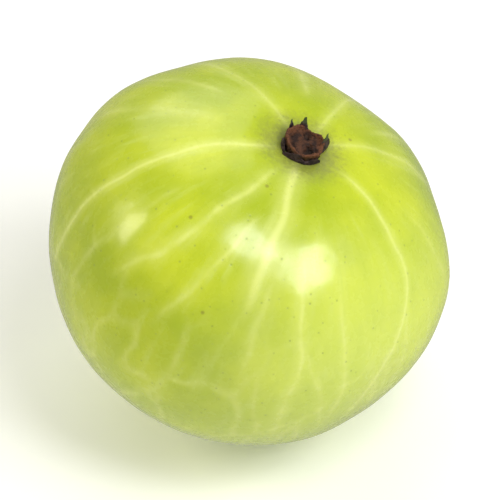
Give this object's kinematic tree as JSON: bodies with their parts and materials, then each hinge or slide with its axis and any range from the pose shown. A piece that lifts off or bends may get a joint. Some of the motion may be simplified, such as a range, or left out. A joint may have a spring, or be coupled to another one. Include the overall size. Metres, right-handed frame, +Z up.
{
  "type": "indian gooseberry",
  "caption": "Whole ripe Indian gooseberry (amla): a squat, glossy yellow-green berry with shallow furrows, a stalk stub with dried sepals, and a small flat spot to rest on.",
  "frame": {"origin": "centre of the part's box, at the level of the surface that the fruit rests on", "axes": "+Z up, away from the surface; the stalk end leans about 21 degrees from +Z towards +X and slightly towards -Y"},
  "size_m": [0.0374, 0.0378, 0.0333],
  "materials": {
    "skin": "smooth, waxy, slightly translucent skin with pale meridian stripes and fine veins",
    "stalk_bark": "dry, rough, woody",
    "dried_sepal": "dry, shrivelled, nearly black",
    "dried_style": "dry, rough, dark brown"
  },
  "bodies": {
    "root": {"fruit": "skin", "stalk_stub": "stalk_bark", "sepal_1": "dried_sepal", "sepal_2": "dried_sepal", "sepal_3": "dried_sepal", "sepal_4": "dried_sepal", "sepal_5": "dried_sepal", "sepal_6": "dried_sepal", "style_remnant": "dried_style"}
  },
  "joints": []
}
